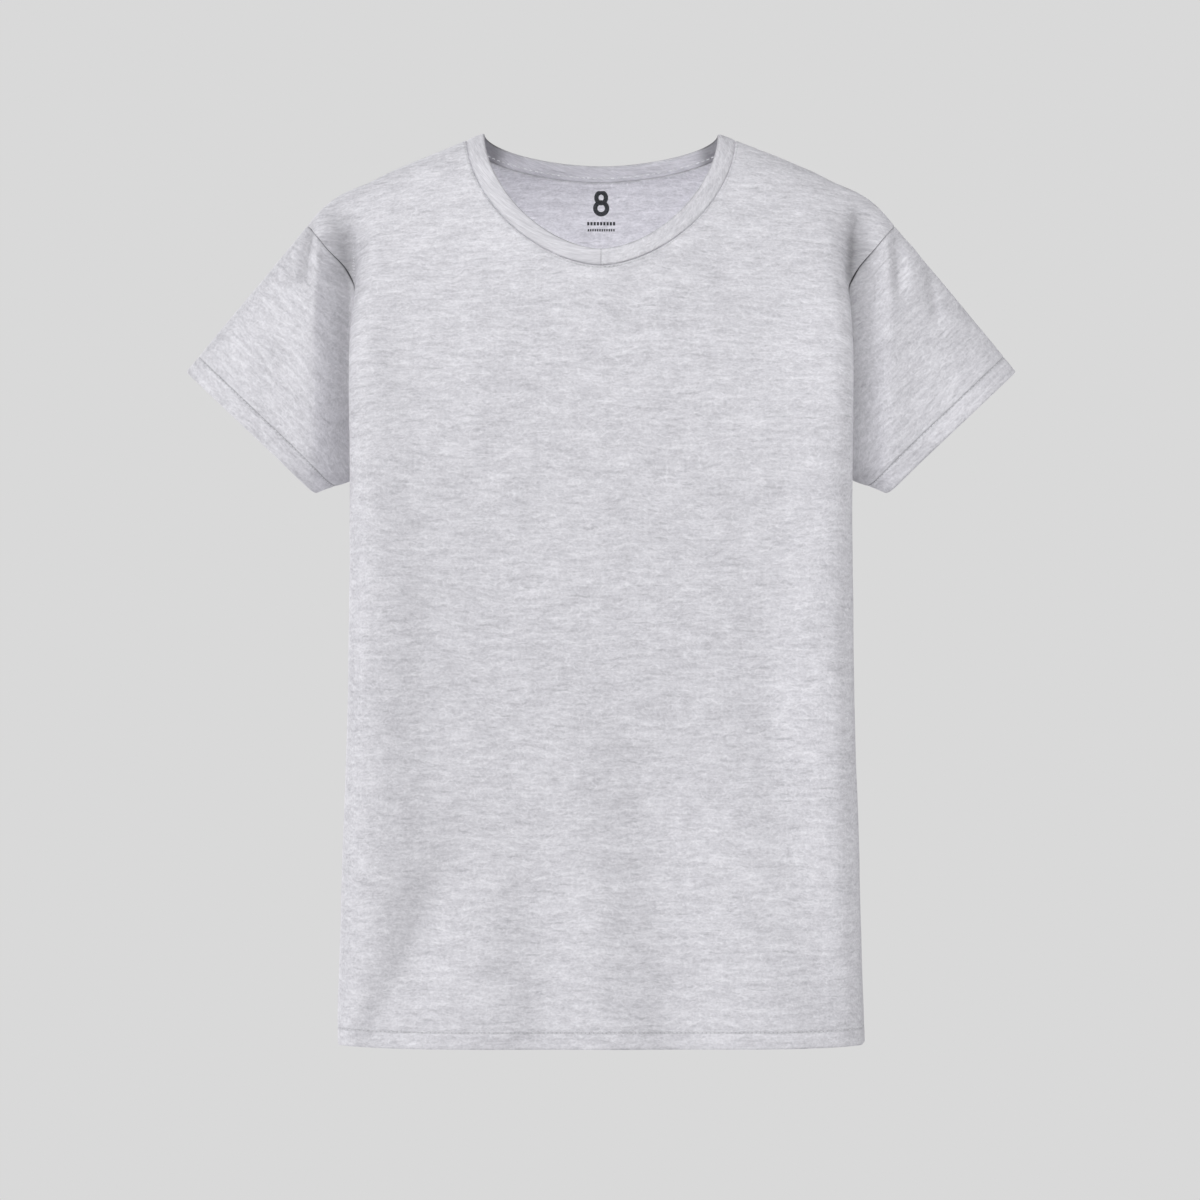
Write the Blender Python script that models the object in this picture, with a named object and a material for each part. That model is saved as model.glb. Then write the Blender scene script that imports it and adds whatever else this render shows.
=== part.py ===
"""Crew neck t-shirt, size S, standing out hollow as it does when worn.

Metres, +Z up, the front towards -Y, +X on the wearer's left. The origin lies midway
between the two neck points, where the shoulders of the wearer carry the shirt.

Every piece of cloth lies on one smooth form: a boxy tube for the body, a sloping
roof for the shoulders and a flattened cone for each sleeve. A piece is a grid of
courses between its seams. The grid is moved out onto the form, shaped by the folds
and closed into a wall with the thickness of the cloth.
"""

import bmesh
import bpy
import numpy as np

COLLECTION = "crew_neck_t_shirt"

# Cloth walls and the room left at each seam.
CLOTH = 0.0012
FOLDED_HEM = 0.0022
BAND_THICKNESS = 0.0024
SEAM_GAP = 0.0003

# Body tube, as level sections from the hem to the shoulders.
HEM_HEIGHT = -0.700
HEM_FOLD = 0.0135
BODY_COLUMNS = ("height", "half_width", "front", "back")
BODY = (
    (-0.700, 0.2028, 0.083, 0.077),
    (-0.560, 0.1993, 0.081, 0.073),
    (-0.430, 0.1952, 0.081, 0.071),
    (-0.300, 0.1962, 0.084, 0.075),
    (-0.180, 0.1968, 0.084, 0.080),
    (-0.060, 0.1950, 0.080, 0.080),
)
BODY_BOXINESS = 4.4

# Hollow in the side of the body, where the arm hangs.
ARM_HOLLOW = 0.013
ARM_HOLLOW_WIDTH = 0.037
ARM_HOLLOW_FOOT = -0.370
ARM_HOLLOW_RISE = 0.120

# Shoulder ridge, and how the cloth falls away in front of it and behind it.
RIDGE_TOP = 0.0417
RIDGE_SLOPE = 0.4286
RIDGE_ROUND = 0.045
FALL_REACH = 0.085
FRONT_FALL, FRONT_FALL_POWER = 0.160, 1.9
BACK_FALL, BACK_FALL_POWER = 0.125, 1.9

# Sleeves, given by the corners of the cuff and by how they widen to the body.
CUFF_TOP = np.array((0.3183, 0.0, -0.1825))
CUFF_FOOT = np.array((0.2194, 0.0, -0.2761))
CUFF_HALF_DEPTH = 0.034
ARM_HALF_DEPTH = 0.047
ARM_LENGTH = 0.130
SLEEVE_ROUNDNESS = 2.2
TOP_FLARE, FOOT_FLARE = 0.0642, 0.437
SLEEVE_FOLD = 0.015

# How softly the surfaces of the form run into each other.
SHOULDER_BLEND, SLEEVE_BLEND, JOIN_BLEND = 0.050, 0.0085, 0.010

# Armhole seam: an oval round the arm, wider at the dropped shoulder tip.
ARMHOLE_HEIGHT, ARMHOLE_HALF_HEIGHT, ARMHOLE_HALF_DEPTH = -0.163, 0.0925, 0.045
UNDERARM_REACH, TIP_REACH, TIP_POWER = 0.177, 0.0483, 3.8

# Neckline: superellipses for the seam and for the edge of the band.
NECK_COLUMNS = ("half_width", "top", "front_depth", "back_depth")
NECK_SEAM = (0.1027, -0.0060, 0.0937, 0.0296)
NECK_EDGE = (0.0897, 0.0000, 0.0866, 0.0226)
NECK_ROUNDNESS = 1.75

# Rows of the band from seam to edge, and how far each is rounded into its thickness.
BAND_ROWS = (0.0, 0.45, 0.92, 1.0)
BAND_OUTSET = (0.0, 0.0, 0.0, 0.3)

# Grid of the courses: steps across half a panel and up each stretch of its side.
FACE_STEPS, CORNER_STEPS = 9, 6
CORNER_REACH, CORNER_SHARE = 0.160, 0.84
SIDE_STEPS, ARMHOLE_STEPS, SHOULDER_STEPS = 11, 10, 5
SLEEVE_STEPS = 7

# Largest folds: soft troughs and ridges along a line that leans as it runs down.
# A depth below nought is a ridge. A face is -1 for the front and 1 for the back.
FOLD_COLUMNS = ("face", "x", "lean", "top", "foot", "half_width", "depth")
FOLDS = (
    (-1, -0.140, 0.00, -0.100, -0.560, 0.034, 0.0026),
    (-1, 0.138, 0.02, -0.110, -0.540, 0.036, 0.0030),
    (-1, -0.118, 0.42, -0.530, -0.760, 0.020, 0.0045),
    (-1, -0.142, 0.42, -0.560, -0.760, 0.018, -0.0025),
    (-1, -0.072, 0.06, -0.560, -0.780, 0.030, 0.0034),
    (-1, 0.040, -0.02, -0.450, -0.780, 0.030, 0.0042),
    (-1, 0.114, 0.03, -0.370, -0.660, 0.024, 0.0030),
    (1, -0.125, -0.03, -0.150, -0.620, 0.034, 0.0036),
    (1, 0.132, -0.02, -0.130, -0.560, 0.032, 0.0030),
    (1, 0.058, -0.05, -0.480, -0.780, 0.030, 0.0046),
    (1, -0.040, 0.05, -0.520, -0.780, 0.026, 0.0036),
    (1, -0.108, 0.10, -0.560, -0.780, 0.024, 0.0032),
)
FOLD_ENDS = 0.110
FOLD_SIDE_FADE = 0.045

HEATHER = (0.62, 0.62, 0.65, 1.0)


def column(table, names, name):
    """One named column of a table, as an array."""
    return np.array([row[names.index(name)] for row in table])


def along(height, name):
    """A size of the body at any height, on a smooth curve through its sections."""
    heights = column(BODY, BODY_COLUMNS, "height")
    sizes = column(BODY, BODY_COLUMNS, name)
    slopes = np.gradient(sizes, heights)
    height = np.clip(height, heights[0], heights[-1])
    low = np.clip(np.searchsorted(heights, height) - 1, 0, len(heights) - 2)
    span = heights[low + 1] - heights[low]
    t = (height - heights[low]) / span
    start = sizes[low] * (1 + 2 * t) + slopes[low] * span * t
    end = sizes[low + 1] * (3 - 2 * t) - slopes[low + 1] * span * (1 - t)
    return start * (1 - t) ** 2 + end * t**2


def smooth_step(t):
    t = np.clip(t, 0, 1)
    return t * t * (3 - 2 * t)


def soft_min(a, b, reach):
    """The smaller of two distances, rounded where they are within reach."""
    share = np.clip(0.5 + 0.5 * (b - a) / reach, 0, 1)
    return b + (a - b) * share - reach * share * (1 - share)


def soft_max(a, b, reach):
    return -soft_min(-a, -b, reach)


def oval_distance(u, v, half_u, half_v, power):
    """About the distance to a superellipse, below nought inside it."""
    u, v = np.abs(u) / half_u, np.abs(v) / half_v
    size = (u**power + v**power + 1e-12) ** (1 / power)
    steepness = np.hypot(u ** (power - 1) / half_u, v ** (power - 1) / half_v)
    return (size - 1) / np.maximum(steepness * size ** (1 - power), 2.0)


def body_distance(x, y, z):
    """Distance to the tube of the body, with the hollow under each arm."""
    rise = smooth_step((z - ARM_HOLLOW_FOOT) / ARM_HOLLOW_RISE)
    hollow = ARM_HOLLOW * rise * np.exp(-((y / ARM_HOLLOW_WIDTH) ** 4))
    depth = np.where(y < 0, along(z, "front"), along(z, "back"))
    return oval_distance(np.abs(x) + hollow, y, along(z, "half_width"), depth, BODY_BOXINESS)


def roof_distance(x, y, z):
    """Distance to the shoulders: a ridge that falls away to the front and back."""
    reach = np.hypot(x, RIDGE_ROUND)
    ridge = RIDGE_TOP - RIDGE_SLOPE * reach
    fall = np.where(y < 0, FRONT_FALL, BACK_FALL)
    power = np.where(y < 0, FRONT_FALL_POWER, BACK_FALL_POWER)
    out = np.abs(y) / FALL_REACH
    slope_x = RIDGE_SLOPE * x / reach
    slope_y = fall * power / FALL_REACH * out ** (power - 1)
    return (z - ridge + fall * out**power) / np.sqrt(1 + slope_x**2 + slope_y**2)


CUFF_CENTRE = (CUFF_TOP + CUFF_FOOT) / 2
CUFF_HALF_WIDTH = np.linalg.norm(CUFF_TOP - CUFF_FOOT) / 2
CUFF_UP = (CUFF_TOP - CUFF_FOOT) / (2 * CUFF_HALF_WIDTH)
SLEEVE_OUT = np.array((CUFF_UP[2], 0.0, -CUFF_UP[0]))


def sleeve_distance(x, y, z):
    """Distance to the flattened cone of a sleeve, which widens from cuff to body."""
    from_centre_x, from_centre_z = np.abs(x) - CUFF_CENTRE[0], z - CUFF_CENTRE[2]
    inward = -(from_centre_x * SLEEVE_OUT[0] + from_centre_z * SLEEVE_OUT[2])
    inward = np.maximum(inward, -SLEEVE_FOLD)
    up = from_centre_x * CUFF_UP[0] + from_centre_z * CUFF_UP[2]
    up -= inward * (TOP_FLARE - FOOT_FLARE) / 2
    half_width = CUFF_HALF_WIDTH + inward * (TOP_FLARE + FOOT_FLARE) / 2
    deepening = smooth_step(inward / ARM_LENGTH)
    half_depth = CUFF_HALF_DEPTH + (ARM_HALF_DEPTH - CUFF_HALF_DEPTH) * deepening
    return oval_distance(up, y, half_width, half_depth, SLEEVE_ROUNDNESS)


def form_distance(points):
    """Distance from the whole form: body, shoulders and both sleeves."""
    x, y, z = points[..., 0], points[..., 1], points[..., 2]
    roof = roof_distance(x, y, z)
    body = soft_max(body_distance(x, y, z), roof, SHOULDER_BLEND)
    arms = soft_max(sleeve_distance(x, y, z), roof, SLEEVE_BLEND)
    return soft_min(body, arms, JOIN_BLEND)


def form_slope(points):
    """How the distance grows along each axis."""
    probe = 0.0004
    slopes = []
    for axis in range(3):
        offset = np.zeros(3)
        offset[axis] = probe
        change = form_distance(points + offset) - form_distance(points - offset)
        slopes.append(change / (2 * probe))
    return np.stack(slopes, axis=-1)


def settle(points, rounds=12):
    """Slide points onto the form by the shortest way."""
    for _ in range(rounds):
        slope = form_slope(points)
        share = form_distance(points) / np.maximum((slope**2).sum(axis=-1), 0.1)
        points = points - 0.9 * slope * share[..., None]
    return points


def outward(points):
    slope = form_slope(points)
    return slope / np.linalg.norm(slope, axis=-1, keepdims=True)


def fold_depth(points):
    """How far the folds press the cloth in, fading out at the sides and ends."""
    x, y, z = points[..., 0], points[..., 1], points[..., 2]
    depth = np.zeros(x.shape)
    for row in FOLDS:
        fold = dict(zip(FOLD_COLUMNS, row))
        line = fold["x"] + fold["lean"] * (z - fold["top"])
        across = np.exp(-(((x - line) / fold["half_width"]) ** 2))
        fade_in = smooth_step((fold["top"] - z) / FOLD_ENDS)
        fade_out = smooth_step((z - fold["foot"]) / FOLD_ENDS)
        side = smooth_step(fold["face"] * y / FOLD_SIDE_FADE)
        depth += fold["depth"] * across * fade_in * fade_out * side
    return depth


def pressed(points, face):
    """The same points as seen from the front, moved in depth onto the form."""
    near, far = np.zeros(points.shape[:-1]), np.full(points.shape[:-1], 2 * FALL_REACH)
    for _ in range(30):
        middle = (near + far) / 2
        trial = np.stack((points[..., 0], face * middle, points[..., 2]), axis=-1)
        inside = form_distance(trial) < 0
        near, far = np.where(inside, middle, near), np.where(inside, far, middle)
    return np.stack((points[..., 0], face * near, points[..., 2]), axis=-1)


def spread(course):
    """Even steps along half a course: across the face, then round the corner."""
    lengths = np.linalg.norm(np.diff(course, axis=0), axis=1)
    travelled = np.concatenate(((0,), np.cumsum(lengths)))
    corner = min(CORNER_REACH, CORNER_SHARE * course[-1, 0])
    turn = np.interp(corner, course[:, 0], travelled)
    face = np.linspace(0, turn, FACE_STEPS + 1)
    round_corner = np.linspace(turn, travelled[-1], CORNER_STEPS + 1)
    places = np.concatenate((face[:-1], round_corner))
    return np.stack([np.interp(places, travelled, course[:, k]) for k in range(3)], axis=-1)


def both_halves(half):
    """A whole course from its wearer's left half."""
    return np.concatenate((half[:0:-1] * np.array((-1.0, 1.0, 1.0)), half))


def neck_course(row, face):
    """Half of a neckline, from the middle of the front or back to the neck point."""
    sizes = dict(zip(NECK_COLUMNS, row))
    drop = sizes["front_depth"] if face < 0 else sizes["back_depth"]
    point = settle(np.array((sizes["half_width"], 0.0, sizes["top"])))
    turn = np.linspace(0, np.pi / 2, 300)
    reach = point[0] * np.sin(turn) ** (2 / NECK_ROUNDNESS)
    height = point[2] - drop * np.cos(turn) ** (2 / NECK_ROUNDNESS)
    course = pressed(np.stack((reach, 0 * turn, height), axis=-1), face)
    course = spread(course)
    course[-1] = point
    return course


def armhole(face):
    """Half of the armhole seam on the wearer's left, from the underarm to the tip."""
    turn = np.linspace(np.pi, 0, ARMHOLE_STEPS + 1)
    reach = UNDERARM_REACH + TIP_REACH * ((1 + np.cos(turn)) / 2) ** TIP_POWER
    depth = face * ARMHOLE_HALF_DEPTH * np.sin(turn)
    height = ARMHOLE_HEIGHT + ARMHOLE_HALF_HEIGHT * np.cos(turn)
    return settle(np.stack((reach, depth, height), axis=-1))


def line_between(start, end, steps):
    share = np.linspace(0, 1, steps + 1)[:, None]
    return settle(start + (end - start) * share)


def side_edge(face, neck_point):
    """The wearer's left edge of a panel: side seam, armhole, then shoulder seam."""
    hole = armhole(face)
    corner = settle(np.array((UNDERARM_REACH, 0.0, HEM_HEIGHT)))
    fold_line = corner + np.array((0.0, 0.0, HEM_FOLD))
    above = fold_line + np.array((0.0, 0.0, CLOTH))
    seam = line_between(above, hole[0], SIDE_STEPS)
    shoulder = line_between(hole[-1], neck_point, SHOULDER_STEPS)
    return np.concatenate((corner[None], fold_line[None], seam[:-1], hole, shoulder[1:]))


def panel_grid(face):
    """Courses of the front or back from the hem up to the neckline."""
    collar = neck_course(NECK_SEAM, face)
    edge = side_edge(face, collar[-1])
    underarm = len(edge) - 1 - SHOULDER_STEPS - ARMHOLE_STEPS
    tip = underarm + ARMHOLE_STEPS
    climb = np.linalg.norm(np.diff(edge[underarm:], axis=0), axis=1)
    climbed = np.concatenate((np.zeros(underarm + 1), np.cumsum(climb) / climb.sum()))
    turn = np.linspace(0, np.pi / 2, 300)
    reach = np.sin(turn) ** (2 / BODY_BOXINESS)
    bulge = np.cos(turn) ** (2 / BODY_BOXINESS)
    flat_sag = (1 - reach**2) ** 2
    round_sag = (1 - reach**NECK_ROUNDNESS) ** (1 / NECK_ROUNDNESS)
    courses = []
    for number, end in enumerate(edge[:-1]):
        middle = edge[min(number, underarm), 2]
        middle += climbed[number] * (collar[0, 2] - middle)
        share = smooth_step((number - tip) / SHOULDER_STEPS)
        sag = flat_sag + share * (round_sag - flat_sag)
        depth = end[1] + (face * FALL_REACH - end[1]) * bulge
        height = end[2] + (middle - end[2]) * sag
        course = settle(np.stack((end[0] * reach, depth, height), axis=-1))
        half = settle(spread(course), 4)
        half[-1] = end
        half[0, 0] = 0.0
        courses.append(both_halves(half))
    courses.append(both_halves(collar))
    return np.stack(courses)


def sleeve_grid():
    """Rings of the wearer's left sleeve from the armhole to the cuff."""
    ring = np.concatenate((armhole(-1)[::-1], armhole(1)[1:-1]))
    turn = np.linspace(0, 2 * np.pi, len(ring) + 1)[:-1, None]
    cuff = CUFF_CENTRE + CUFF_HALF_WIDTH * np.cos(turn) * CUFF_UP
    cuff = settle(cuff - CUFF_HALF_DEPTH * np.sin(turn) * np.array((0.0, 1.0, 0.0)))
    length = np.linalg.norm(cuff - ring, axis=1)[:, None]
    fold = SLEEVE_FOLD + CLOTH
    rings = [ring]
    for step in range(1, SLEEVE_STEPS):
        share = step / SLEEVE_STEPS
        rings.append(settle(ring + (cuff - ring) * share * (1 - fold / length)))
    for distance in (fold, SLEEVE_FOLD, 0.0):
        rings.append(settle(cuff + (ring - cuff) * distance / length))
    return np.stack(rings)


def drawn_in(grid, closed):
    """The grid with its outer edges drawn in by half a seam gap."""
    moved = grid.copy()
    for edge, inner in ((0, 1), (-1, -2)):
        way = grid[inner] - grid[edge]
        moved[edge] += SEAM_GAP / 2 * way / np.linalg.norm(way, axis=-1, keepdims=True)
        if not closed:
            way = grid[:, inner] - grid[:, edge]
            way /= np.linalg.norm(way, axis=-1, keepdims=True)
            moved[:, edge] += SEAM_GAP / 2 * way
    return moved


def skins(grid, outset, inset, closed):
    """Outer and inner grids of a piece, shaped by the folds, row by row."""
    normals = outward(grid)
    cloth = drawn_in(grid, closed) - normals * fold_depth(grid)[..., None]
    outer = cloth - normals * np.array(outset)[:, None, None]
    inner = cloth - normals * np.array(inset)[:, None, None]
    return outer, inner


def cloth_wall(name, grids, closed, parts, material):
    """A closed wall between an outer and an inner grid of the same size."""
    rows, count = grids[0].shape[:2]
    mesh = bmesh.new()
    sides = [[[mesh.verts.new(point) for point in row] for row in grid] for grid in grids]
    for side in sides:
        for low, high in zip(side, side[1:]):
            for k in range(count if closed else count - 1):
                n = (k + 1) % count
                mesh.faces.new((low[k], low[n], high[n], high[k]))
    outer, inner = sides
    rims = [list(zip(outer[row], inner[row])) for row in (0, -1)]
    if closed:
        rims = [rim + rim[:1] for rim in rims]
    else:
        rims += [[(outer[r][k], inner[r][k]) for r in range(rows)] for k in (0, -1)]
    for rim in rims:
        for (a, b), (c, d) in zip(rim, rim[1:]):
            mesh.faces.new((a, b, d, c))
    bmesh.ops.triangulate(mesh, faces=mesh.faces, quad_method="SHORT_EDGE")
    bmesh.ops.recalc_face_normals(mesh, faces=mesh.faces)
    data = bpy.data.meshes.new(name)
    mesh.to_mesh(data)
    mesh.free()
    data.shade_smooth()
    data.set_sharp_from_angle(angle=np.radians(40))
    data.materials.append(material)
    parts.objects.link(bpy.data.objects.new(name, data))


def make_panel(name, face, parts, material):
    grid = panel_grid(face)
    inset = [CLOTH] * len(grid)
    inset[:2] = [FOLDED_HEM] * 2
    cloth_wall(name, skins(grid, [0.0] * len(grid), inset, False), False, parts, material)


def make_sleeve(name, hand, parts, material):
    """A sleeve; hand is 1 for the wearer's left and -1 for the right."""
    grid = sleeve_grid()
    inset = [CLOTH] * len(grid)
    inset[-2:] = [FOLDED_HEM] * 2
    grids = skins(grid, [0.0] * len(grid), inset, True)
    mirror = np.array((hand, 1.0, 1.0))
    cloth_wall(name, [side * mirror for side in grids], True, parts, material)


def make_neck_band(name, parts, material):
    """The band, folded over its free edge, from the neck seam inwards."""
    loops = []
    for row in (NECK_SEAM, NECK_EDGE):
        front, back = (both_halves(neck_course(row, face)) for face in (-1, 1))
        loops.append(np.concatenate((front, back[-2:0:-1])))
    seam, edge = loops
    grid = [seam] + [settle(seam + (edge - seam) * share, 4) for share in BAND_ROWS[1:]]
    outset = [BAND_THICKNESS * share for share in BAND_OUTSET]
    inset = [BAND_THICKNESS * (1 - share) for share in BAND_OUTSET]
    cloth_wall(name, skins(np.stack(grid), outset, inset, True), True, parts, material)


def jersey(name):
    material = bpy.data.materials.new(name)
    material.use_nodes = True
    surface = material.node_tree.nodes["Principled BSDF"]
    surface.inputs["Base Color"].default_value = HEATHER
    surface.inputs["Roughness"].default_value = 0.9
    surface.inputs["Metallic"].default_value = 0.0
    return material


def main():
    for item in list(bpy.data.objects):
        bpy.data.objects.remove(item)
    parts = bpy.data.collections.new(COLLECTION)
    bpy.context.scene.collection.children.link(parts)
    make_panel("front_panel", -1, parts, jersey("front_jersey"))
    make_panel("back_panel", 1, parts, jersey("back_jersey"))
    make_sleeve("sleeve_left", 1, parts, jersey("left_sleeve_jersey"))
    make_sleeve("sleeve_right", -1, parts, jersey("right_sleeve_jersey"))
    make_neck_band("neck_band", parts, jersey("band_jersey"))


main()
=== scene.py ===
"""Looks of a crew neck t-shirt in pale grey heather jersey, hollow as it is when worn.

Metres, +Z up, the front towards -Y. The cloth lies on the same form as the part: a boxy
tube for the body, a sloping roof for the shoulders and a flattened cone for each sleeve.
Each piece is a fine grid between its seams, moved onto the form, pressed in by folds and
creases, rolled inwards at its seams and turned up at its hems.
"""

import bpy
import numpy as np
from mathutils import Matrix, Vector


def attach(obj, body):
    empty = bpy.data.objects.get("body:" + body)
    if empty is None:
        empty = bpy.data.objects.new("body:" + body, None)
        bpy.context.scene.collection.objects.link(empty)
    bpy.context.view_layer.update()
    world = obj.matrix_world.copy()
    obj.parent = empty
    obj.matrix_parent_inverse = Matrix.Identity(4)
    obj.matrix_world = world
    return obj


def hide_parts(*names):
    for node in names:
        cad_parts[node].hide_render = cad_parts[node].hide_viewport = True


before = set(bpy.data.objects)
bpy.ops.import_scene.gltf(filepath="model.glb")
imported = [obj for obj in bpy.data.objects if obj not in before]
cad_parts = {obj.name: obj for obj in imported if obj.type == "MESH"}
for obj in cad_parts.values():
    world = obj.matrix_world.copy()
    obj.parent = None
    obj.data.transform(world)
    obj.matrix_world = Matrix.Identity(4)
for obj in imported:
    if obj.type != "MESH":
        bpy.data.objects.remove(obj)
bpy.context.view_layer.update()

# Body tube, as level sections from the hem to the shoulders.
HEM_HEIGHT = -0.700
BODY_COLUMNS = ("height", "half_width", "front", "back")
BODY = (
    (-0.700, 0.2022, 0.083, 0.077),
    (-0.560, 0.1978, 0.081, 0.073),
    (-0.430, 0.1934, 0.081, 0.071),
    (-0.300, 0.1922, 0.084, 0.075),
    (-0.180, 0.1934, 0.084, 0.080),
    (-0.060, 0.1950, 0.080, 0.080),
)
FRONT_BOXINESS, BACK_BOXINESS = 9.0, 4.4
ARM_HOLLOW = 0.013
ARM_HOLLOW_WIDTH = 0.037
ARM_HOLLOW_FOOT = -0.370
ARM_HOLLOW_RISE = 0.120

# Shoulder ridge, and how the cloth falls away in front of it and behind it.
RIDGE_TOP = 0.0417
RIDGE_SLOPE = 0.4286
RIDGE_ROUND = 0.045
FALL_REACH = 0.085
FRONT_FALL, FRONT_FALL_POWER = 0.160, 1.9
BACK_FALL, BACK_FALL_POWER = 0.125, 1.9

# Sleeves.
CUFF_TOP = np.array((0.3183, 0.0, -0.1825))
CUFF_FOOT = np.array((0.2194, 0.0, -0.2761))
CUFF_HALF_DEPTH = 0.036
ARM_HALF_DEPTH = 0.041
ARM_LENGTH = 0.130
SLEEVE_ROUNDNESS = 2.5
TOP_FLARE, FOOT_FLARE = 0.0642, 0.437
SLEEVE_FOLD = 0.015
SHOULDER_BLEND, SLEEVE_BLEND, JOIN_BLEND = 0.026, 0.0085, 0.006

# How points are brought onto the form, in rounds.
PROBE = 0.0004
SETTLE_SHARE, SETTLE_SLOPE, OVAL_SLOPE = 0.9, 0.1, 2.0
PRESS_ROUNDS = 30
LINE_STEPS = 300
FAR = 1.0

# Beside the body a sleeve rises to a soft ridge, and then falls into a valley behind
# the side of the body: the share of its depth that it loses at each reach.
VALLEY_COLUMNS = ("reach", "lost")
VALLEY = (
    (0.1700, 0.00),
    (0.1800, 0.02),
    (0.1880, 0.22),
    (0.1940, 0.44),
    (0.1990, 0.43),
    (0.2050, 0.32),
    (0.2110, 0.17),
    (0.2190, 0.01),
    (0.2300, -0.06),
    (0.2450, -0.03),
    (0.2620, 0.00),
    (0.2800, 0.00),
)
RIGHT_VALLEY, LEFT_VALLEY = 1.15, 0.8
# Strength of the painted shade down in the valley, on each side.
RIGHT_VALLEY_SHADE, LEFT_VALLEY_SHADE = 1.15, 2.1
VALLEY_FRONT, VALLEY_FRONT_FADE = 0.038, 0.032
VALLEY_TOP, VALLEY_TOP_FADE = -0.045, 0.052
VALLEY_FOOT, VALLEY_FOOT_FADE = -0.310, 0.050
TUCK, TUCK_REACH, TUCK_FADE = 0.008, 0.212, 0.012

# Armhole and neckline.
ARMHOLE_HEIGHT, ARMHOLE_HALF_HEIGHT, ARMHOLE_HALF_DEPTH = -0.163, 0.0925, 0.045
UNDERARM_REACH, TIP_REACH, TIP_POWER = 0.177, 0.0483, 3.8
NECK_COLUMNS = ("half_width", "top", "front_depth", "back_depth")
NECK_SEAM = (0.1027, -0.0060, 0.0978, 0.0296)
NECK_EDGE = (0.0897, 0.0000, 0.0903, 0.0226)
NECK_ROUNDNESS = 1.75

# Cloth: thickness, the hem folded double, the double band and the allowances inside.
CLOTH = 0.0009
HEM_THICKNESS = 0.0019
BAND_THICKNESS = 0.0022
HEM_FOLD = 0.0152
ALLOWANCE, ALLOWANCE_HEIGHT, ALLOWANCE_STEP = 0.0060, 0.0008, 0.0008
HEM_STEP = 0.0006
HEM_CORNER_RISE, HEM_CORNER_POWER, HEM_CORNER_FADE = 0.0028, 5.0, 0.10
UNEVENNESS = 0.00022

# How deep the face of a piece lies at a distance from its seam, where it rolls inwards,
# and at a distance from a folded edge.
EDGE_COLUMNS = ("distance", "seam", "fold")
EDGES = (
    (0.0000, 0.00125, 0.00095),
    (0.0002, 0.00080, 0.00058),
    (0.0006, 0.00038, 0.00026),
    (0.0011, 0.00014, 0.00008),
    (0.0018, 0.00003, 0.00001),
    (0.0028, 0.00000, 0.00000),
)

# Grid steps of the panels and sleeves, and the rows close to a seam or a fold.
FACE_STEPS, CORNER_STEPS = 50, 33
CORNER_REACH, CORNER_SHARE = 0.160, 0.84
EDGE_ROWS = (0.0070, 0.0058, 0.0040, 0.0024, 0.0014, 0.0008, 0.0003)
HEM_ROWS = (0.0, 0.0003, 0.0009, 0.0018, 0.0036, 0.0060, 0.0088, 0.0112,
            0.0121, 0.0128, 0.0137, 0.0146, 0.0154, 0.0172)
SIDE_STEPS, ARMHOLE_STEPS, SHOULDER_STEPS = 118, 76, 36
NECK_SHARES = (0.35, 0.60, 0.80, 0.93)
SLEEVE_STEPS = 40
SLEEVE_ROOT_ROWS = EDGE_ROWS[::-1]
CUFF_ROWS = (0.0180, 0.0162, 0.0155, 0.0150, 0.0145, 0.0138, 0.0122, 0.0100,
             0.0070, 0.0040, 0.0018, 0.0009, 0.0003, 0.0)
BAND_ROWS = (0.0, 0.016, 0.05, 0.09, 0.15, 0.24, 0.34, 0.45, 0.56, 0.67, 0.78,
             0.86, 0.92, 0.955, 0.98, 1.0)

# Largest folds, along a line that leans as it runs down, as in the part.
FOLD_COLUMNS = ("face", "x", "lean", "top", "foot", "right_width", "left_width", "depth")
FOLDS = (
    (-1, -0.086, 0.43, -0.490, -0.800, 0.020, 0.034, 0.0072),
    (-1, -0.062, -0.11, -0.490, -0.820, 0.030, 0.030, 0.0078),
    (-1, 0.024, -0.13, -0.410, -0.840, 0.034, 0.046, 0.0105),
    (-1, 0.112, -0.17, -0.320, -0.780, 0.024, 0.030, 0.0056),
    (1, -0.125, -0.03, -0.150, -0.620, 0.034, 0.026, 0.0040),
    (1, 0.132, -0.02, -0.130, -0.560, 0.026, 0.034, 0.0036),
    (1, 0.058, -0.05, -0.480, -0.780, 0.022, 0.036, 0.0052),
    (1, -0.040, 0.05, -0.520, -0.780, 0.030, 0.020, 0.0042),
    (1, -0.108, 0.10, -0.560, -0.780, 0.026, 0.018, 0.0038),
)

# The front hangs as a shallow basin: how far it stands proud at a reach from the middle.
BASIN_COLUMNS = ("reach", "proud")
BASIN = (
    (0.000, -0.0055),
    (0.070, -0.0056),
    (0.114, -0.0055),
    (0.134, -0.0040),
    (0.152, 0.0008),
    (0.168, 0.0056),
    (0.182, 0.0078),
    (0.194, 0.0064),
    (0.215, 0.0000),
    (0.230, 0.0000),
)
BASIN_TOP, BASIN_FADE_IN = -0.080, 0.080
BASIN_FOOT, BASIN_FADE_OUT = -0.740, 0.260
BASIN_SPREAD, BASIN_SPREAD_FOOT, BASIN_SPREAD_RISE = 0.085, -0.350, 0.120
FOLD_ENDS = 0.110
FOLD_SIDE_FADE = 0.045

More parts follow.
